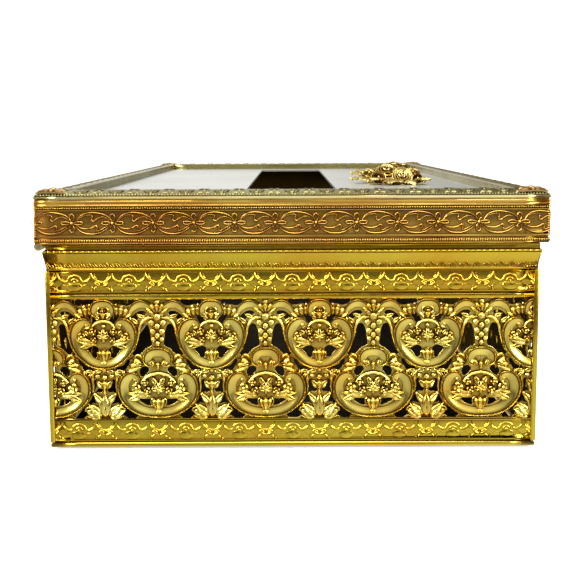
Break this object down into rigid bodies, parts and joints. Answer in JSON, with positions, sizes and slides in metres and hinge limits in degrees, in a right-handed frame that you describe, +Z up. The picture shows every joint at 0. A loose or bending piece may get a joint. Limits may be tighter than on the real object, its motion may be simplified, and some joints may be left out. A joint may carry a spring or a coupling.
{
  "type": "tissue box casket",
  "caption": "Gilt pierced filigree casket with a hinged lid, a long slot in its satin top panel and a cast rose spray beside the slot.",
  "frame": {"origin": "centre of the felt pad's underside, where the box rests on a table", "axes": "+Z up; X across the box, with the hinge on the -X long side; Y along the box's length, with the end wall that is usually seen at -Y"},
  "size_m": [0.1414, 0.26, 0.0771],
  "materials": {
    "bright_gilt": "polished gold plate on stamped brass, darkened in the recesses",
    "lid_gilt": "polished gold plate with a coppery sunk ground",
    "copper_gilt": "rubbed gold plate with copper showing",
    "antique_gilt": "antiqued gold plate on castings",
    "brass_plate": "plain brushed brass sheet",
    "hinge_brass": "dull brass",
    "steel_pin": "drawn wire",
    "satin_silver": "satin white metal",
    "red_felt": "felt",
    "dark_velvet": "velvet"
  },
  "bodies": {
    "base": {"felt_pad": "red_felt", "base_plate": "brass_plate", "floor_lining": "dark_velvet", "skirt_right": "bright_gilt", "skirt_back": "bright_gilt", "skirt_left": "bright_gilt", "skirt_front": "bright_gilt", "filigree_right": "bright_gilt", "filigree_back": "bright_gilt", "filigree_left": "bright_gilt", "filigree_front": "bright_gilt", "frieze_right": "bright_gilt", "frieze_back": "bright_gilt", "frieze_left": "bright_gilt", "frieze_front": "bright_gilt", "rim_right": "bright_gilt", "rim_back": "bright_gilt", "rim_left": "bright_gilt", "rim_front": "bright_gilt", "edging_front_right": "bright_gilt", "edging_back_right": "bright_gilt", "edging_back_left": "bright_gilt", "edging_front_left": "bright_gilt", "hinge_leaf_base": "hinge_brass", "hinge_pin": "steel_pin"},
    "lid": {"hinge_leaf_lid": "hinge_brass", "lid_band_right": "lid_gilt", "lid_band_back": "lid_gilt", "lid_band_left": "lid_gilt", "lid_band_front": "lid_gilt", "lid_rail_right": "lid_gilt", "lid_rail_back": "lid_gilt", "lid_rail_left": "lid_gilt", "lid_rail_front": "lid_gilt", "corner_cap_front_right": "copper_gilt", "corner_cap_back_right": "copper_gilt", "corner_cap_back_left": "copper_gilt", "corner_cap_front_left": "copper_gilt", "satin_panel": "satin_silver", "panel_clips": "brass_plate", "spray_leaves": "antique_gilt", "rose_front": "antique_gilt", "rose_middle": "antique_gilt", "rose_back": "antique_gilt", "spray_buds": "antique_gilt", "spray_rivets": "brass_plate"}
  },
  "joints": [
    {"name": "lid_hinge", "type": "hinge", "parent": "base", "child": "lid", "pos_m": [-0.0702, 0, 0.057], "axis": [0, -1, 0], "range_deg": [0, 110]}
  ]
}
